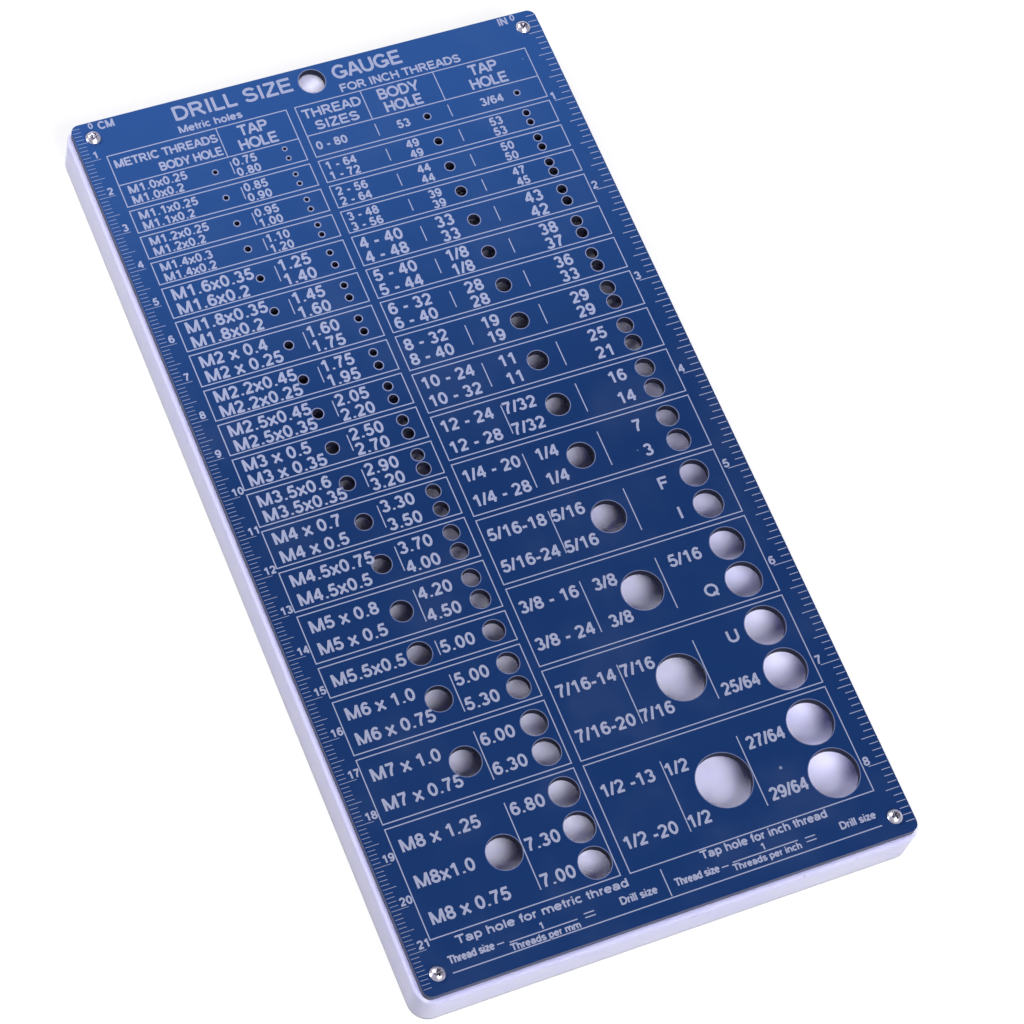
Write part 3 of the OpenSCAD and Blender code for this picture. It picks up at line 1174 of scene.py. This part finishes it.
@dataclass(frozen=True)
class Gauge:
    """The whole gauge: dresses the frame's nodes and adds the marks.

    Attributes:
        coat: finish of the plate.
        marks: finish of everything cut through the coat.
        rims: finish of the pale rings round the holes, a painted highlight of their edges.
        plastic: finish of the base.
        zinc: finish of the screws.
        hang_y: distance from the head to the hang hole, in millimetres.
        hang_d: diameter of the hang hole, in millimetres.
    """

    coat: BlueCoat = BlueCoat()
    marks: MarkedSteel = MarkedSteel()
    # Pale rings round the holes: painted highlight of their edges.
    rims: MarkedSteel = MarkedSteel("7880A6", "5C6488")
    plastic: WhitePlastic = WhitePlastic()
    zinc: ZincSteel = ZincSteel()
    hang_y: float = 4.1
    hang_d: float = 6.35

    def dress(self, nodes: dict[str, bpy.types.Object], face: Face) -> None:
        """Gives each node of the frame its material.

        Args:
            nodes: the frame's nodes.
            face: the plate's upper face.
        """
        base = (Vector(c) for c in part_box("base_block"))
        finishes = {
            "gauge_plate": self.coat.build(face),
            "base_block": self.plastic.build(face, *base),
            "corner_screws": self.zinc.build(Vector(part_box("corner_screws")[1]))}
        for name, material in finishes.items():
            nodes[name].data.materials.clear()
            nodes[name].data.materials.append(material)
            log.info("%s: %s", name, material.name)

    def build(self, nodes: dict[str, bpy.types.Object]) -> None:
        """Dresses the frame and adds the marks.

        Args:
            nodes: the frame's nodes.
        """
        face = Face.of_node("gauge_plate")
        self.dress(nodes, face)
        steel = self.marks.build("Steel laid bare by marking")
        metric = MetricTable(
            "metric_table_marks", METRIC_ROWS, METRIC_HEADINGS, left=5.6, right=49.35,
            bars=(32.0,), bar_inset=(1.85, 0.1), thread_x=7.2, body_x=27.8, tap_x=45.3)
        inch = InchTable(
            "inch_table_marks", INCH_ROWS, INCH_HEADINGS, left=51.5, right=109.9,
            bars=(67.8, 86.2), bar_inset=(1.9, 0.17), thread_x=52.5, body_x=80.4, tap_x=103.3,
            body_end=85.85)
        rulers = Margin("ruler_marks", RULERS, RULER_LABELS)
        headings = Margin("heading_marks", FORMULAS, PLATE_LABELS, FOOT_LINES)
        for marks in (metric, inch, rulers, headings):
            marks.build(face, steel)
        # A pale ring round each hole paints the highlight of its edge.
        rims = MarkSheet("hole_rims", face)
        metric.draw_rim_highlights(rims)
        inch.draw_rim_highlights(rims)
        rims.rim(face.width / 2, self.hang_y, self.hang_d)
        rims.build(self.rims.build("Painted highlight round the holes"))


@dataclass(frozen=True)
class Softbox:
    """A square soft lamp that faces the object.

    Attributes:
        name: name of the lamp.
        azimuth: its direction in degrees, from +X counter-clockwise.
        elevation: its height over the floor in degrees.
        distance: its distance in metres.
        size: its side in metres.
        power: its power in watts.
    """

    name: str
    azimuth: float
    elevation: float
    distance: float
    size: float
    power: float

    def build(self) -> None:
        """Makes the lamp."""
        turn, rise = radians(self.azimuth), radians(self.elevation)
        place = self.distance * Vector((cos(turn) * cos(rise), sin(turn) * cos(rise), sin(rise)))
        data = bpy.data.lights.new(self.name, "AREA")
        data.energy = self.power
        data.size = self.size
        turned = (-place).to_track_quat("-Z", "Y").to_matrix().to_4x4()
        new_object(self.name, data).matrix_world = Matrix.Translation(place) @ turned


@dataclass(frozen=True)
class Stage:
    """White floor, faint light from all round and three soft lamps.

    The shadows in the holes show where the first two lamps stand. The third lights the left side.

    Attributes:
        floor_size: side of the floor in metres.
        air: colour of the light from all round.
        sky: its strength.
        mirrored: its strength as bare metal mirrors it.
        thrown: the floor's colour to the light that it throws back.
        looked: its colour to the eye.
        lift: how far it glows to the eye.
        lamps: the lamps.
    """

    floor_size: float = 8.0
    air: str = "F6F6FF"
    sky: float = 0.2
    mirrored: float = 0.5
    thrown: str = "707074"
    looked: str = "8F8F92"
    lift: float = 0.68
    lamps: tuple[Softbox, ...] = (  # direction, height, distance, side and power
        Softbox("front lamp", 279.0, 48.5, 1.2, 0.6, 15.4),
        Softbox("rear lamp", 122.0, 43.0, 1.2, 0.55, 11.0),
        Softbox("left card", 165.0, 8.0, 1.2, 0.5, 4.2))

    def build(self) -> None:
        """Makes the floor, the sky and the lamps."""
        mesh = bpy.data.meshes.new("floor")
        ground = bmesh.new()
        bmesh.ops.create_grid(ground, x_segments=1, y_segments=1, size=self.floor_size / 2)
        ground.to_mesh(mesh)
        ground.free()
        floor = new_object("floor", mesh)
        mesh.materials.append(self.paper())
        world = bpy.data.worlds.new("soft white room")
        world.use_nodes = True
        tree = world.node_tree
        strength = calc(tree, "MULTIPLY_ADD", self.seen(tree), self.mirrored - self.sky, self.sky)
        background = tree.nodes["Background"]
        feed(tree, background, {"Color": srgb(self.air), "Strength": strength})
        bpy.context.scene.world = world
        for lamp in self.lamps:
            lamp.build()

    def seen(self, tree: Tree) -> Socket:
        """Tells what is looked at, straight or in a mirror, from what only throws light.

        Args:
            tree: node tree of a material or of the world.

        Returns:
            A socket that is 1 where it is looked at and 0 elsewhere.
        """
        rays = add(tree, "LightPath").outputs
        mirrored = calc(tree, "MAXIMUM", rays["Is Glossy Ray"], rays["Is Transmission Ray"])
        return calc(tree, "MAXIMUM", rays["Is Camera Ray"], mirrored)

    def paper(self) -> Material:
        """Makes the floor's paper: grey to the light, but lifted to white to the eye, shadow apart.

        Returns:
            The material.
        """
        material, tree, shader = new_material("White backdrop paper")
        seen = self.seen(tree)
        feed(tree, shader, {
            "Base Color": blend(tree, seen, srgb(self.thrown), srgb(self.looked)),
            "Roughness": 0.9,
            "Emission Color": srgb("FFFFFF"),
            "Emission Strength": calc(tree, "MULTIPLY", seen, self.lift)})
        return material


@dataclass(frozen=True)
class PhotoCamera:
    """The photograph's camera, solved from the rulers' ticks.

    Attributes:
        place: the lens's place in metres.
        right: direction of the picture's right side.
        up: direction of the picture's upper side.
        lens: focal length in millimetres.
        sensor: width of the picture on the sensor in millimetres.
    """

    place: tuple[float, float, float] = (-0.23826, -0.29465, 0.70881)
    right: tuple[float, float, float] = (0.911625, -0.378186, 0.160982)
    up: tuple[float, float, float] = (0.276167, 0.853669, 0.441567)
    lens: float = 125.786
    sensor: float = 36.0

    def build(self) -> None:
        """Makes the camera and looks through it."""
        data = bpy.data.cameras.new("photo camera")
        data.lens = self.lens
        data.sensor_width = self.sensor
        camera = new_object("photo camera", data)
        right = Vector(self.right).normalized()
        back = right.cross(Vector(self.up)).normalized()
        axes = Matrix((right, back.cross(right), back)).transposed()
        camera.matrix_world = Matrix.Translation(self.place) @ axes.to_4x4()
        bpy.context.scene.camera = camera


def main() -> None:
    """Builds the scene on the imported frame."""
    logging.basicConfig(level=logging.INFO, format="%(name)s %(message)s")
    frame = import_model()
    Gauge().build(frame["nodes"])
    Stage().build()
    PhotoCamera().build()
    bpy.context.scene.view_settings.view_transform = "Standard"


if __name__ == "__main__":
    main()
